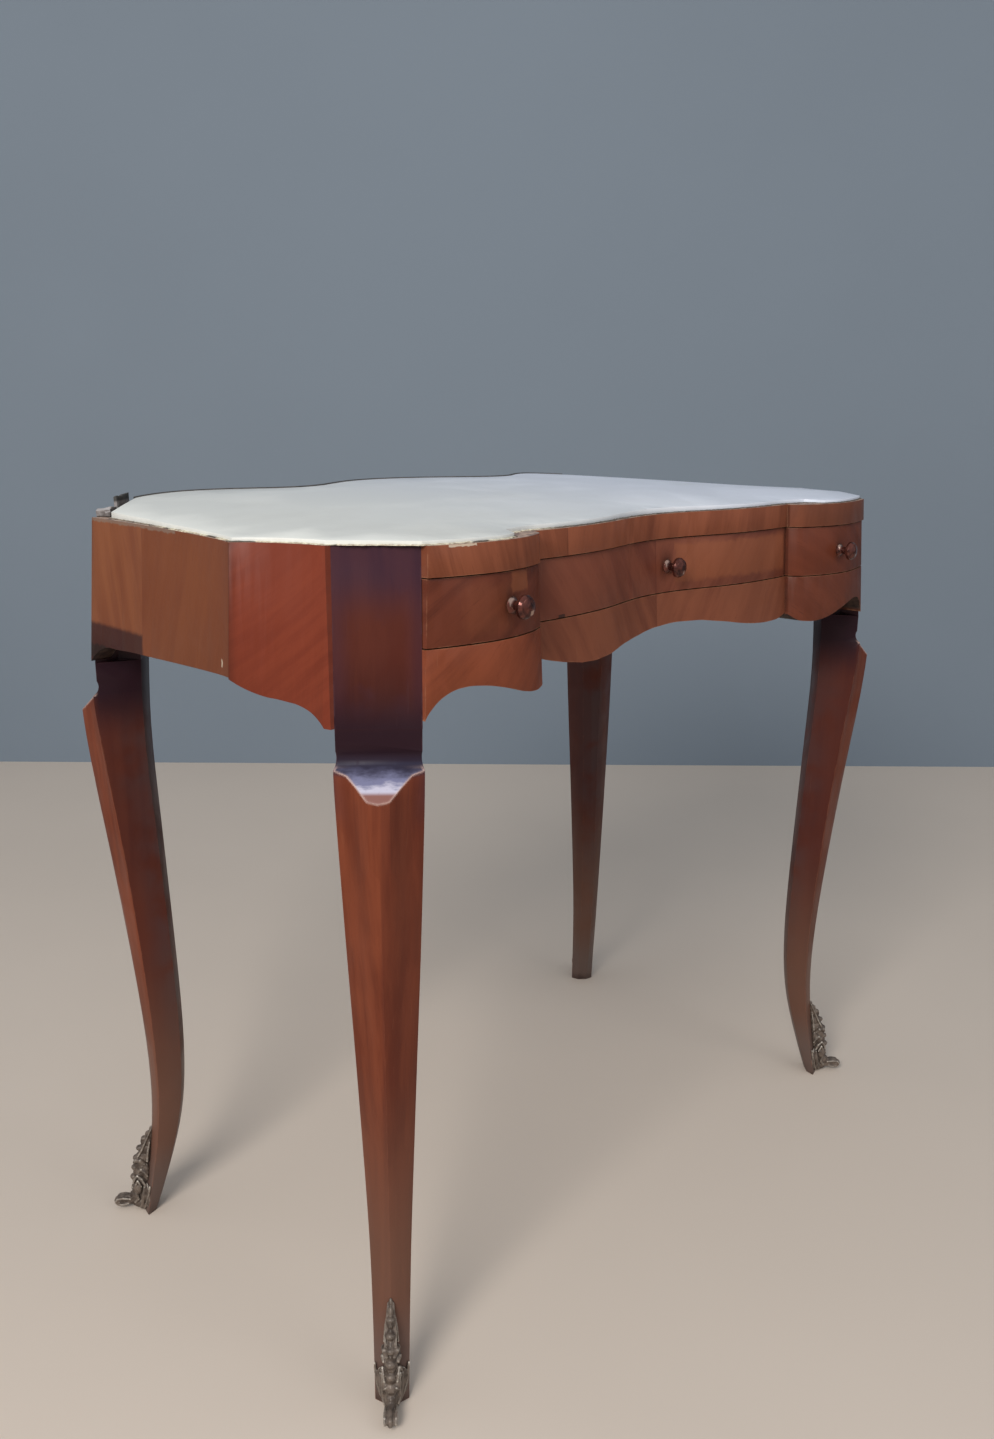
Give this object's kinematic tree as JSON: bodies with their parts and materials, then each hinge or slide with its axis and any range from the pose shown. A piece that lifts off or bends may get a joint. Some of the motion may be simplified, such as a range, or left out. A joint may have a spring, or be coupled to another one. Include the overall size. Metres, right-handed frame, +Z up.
{
  "type": "dressing table",
  "caption": "Small kneehole dressing table with a serpentine drawer front, canted corners, cabriole legs with bronze foot mounts and a plain pale top.",
  "frame": {"origin": "on the floor under the middle of the whole table, drawer knobs included", "axes": "+X to the right for someone who sits at the drawers, +Y from the drawer front to the back, +Z up"},
  "size_m": [0.8608, 0.472, 0.7492],
  "materials": {
    "leg_wood": "reddish brown polished wood, worn",
    "case_veneer": "orange-brown veneer, worn polish",
    "end_veneer": "faded brown veneer, worn polish",
    "drawer_veneer": "orange-brown veneer, worn polish",
    "dark_edge_wood": "dark dusty wood",
    "inner_wood": "plain dry oak, unpolished",
    "white_top": "smooth pale satin sheet",
    "aged_bronze": "dark aged bronze with rubbed pale edges",
    "knob_metal": "dark brown patinated bronze"
  },
  "bodies": {
    "case": {"leg_front_left": "leg_wood", "leg_front_right": "leg_wood", "leg_back_left": "leg_wood", "leg_back_right": "leg_wood", "foot_mount_front_left": "aged_bronze", "foot_mount_front_right": "aged_bronze", "foot_mount_back_left": "aged_bronze", "foot_mount_back_right": "aged_bronze", "foot_mount_pins": "aged_bronze", "front_rail": "case_veneer", "apron_middle": "case_veneer", "apron_left": "case_veneer", "apron_right": "case_veneer", "end_panel_left": "end_veneer", "end_panel_right": "end_veneer", "end_lobe_left": "case_veneer", "end_lobe_right": "case_veneer", "back_panel": "case_veneer", "case_top_board": "inner_wood", "drawer_divider_left": "inner_wood", "drawer_divider_right": "inner_wood", "drawer_runners": "inner_wood", "drawer_guides": "inner_wood", "drawer_kickers": "inner_wood", "glue_blocks": "inner_wood", "drawer_stops": "inner_wood", "top_panel": "white_top", "top_back_lip": "dark_edge_wood", "corner_rest_left": "dark_edge_wood", "corner_rest_right": "dark_edge_wood"},
    "drawer_left": {"drawer_left_front": "drawer_veneer", "drawer_left_side_left": "inner_wood", "drawer_left_side_right": "inner_wood", "drawer_left_bottom": "inner_wood", "drawer_left_back": "inner_wood", "drawer_left_knob": "knob_metal"},
    "drawer_middle": {"drawer_middle_front": "drawer_veneer", "drawer_middle_side_left": "inner_wood", "drawer_middle_side_right": "inner_wood", "drawer_middle_bottom": "inner_wood", "drawer_middle_back": "inner_wood", "drawer_middle_knob": "knob_metal"},
    "drawer_right": {"drawer_right_front": "drawer_veneer", "drawer_right_side_left": "inner_wood", "drawer_right_side_right": "inner_wood", "drawer_right_bottom": "inner_wood", "drawer_right_back": "inner_wood", "drawer_right_knob": "knob_metal"}
  },
  "joints": [
    {"name": "drawer_left_slide", "type": "slide", "parent": "case", "child": "drawer_left", "axis": [0, -1, 0], "range_m": [0, 0.2]},
    {"name": "drawer_middle_slide", "type": "slide", "parent": "case", "child": "drawer_middle", "axis": [0, -1, 0], "range_m": [0, 0.2]},
    {"name": "drawer_right_slide", "type": "slide", "parent": "case", "child": "drawer_right", "axis": [0, -1, 0], "range_m": [0, 0.2]}
  ]
}
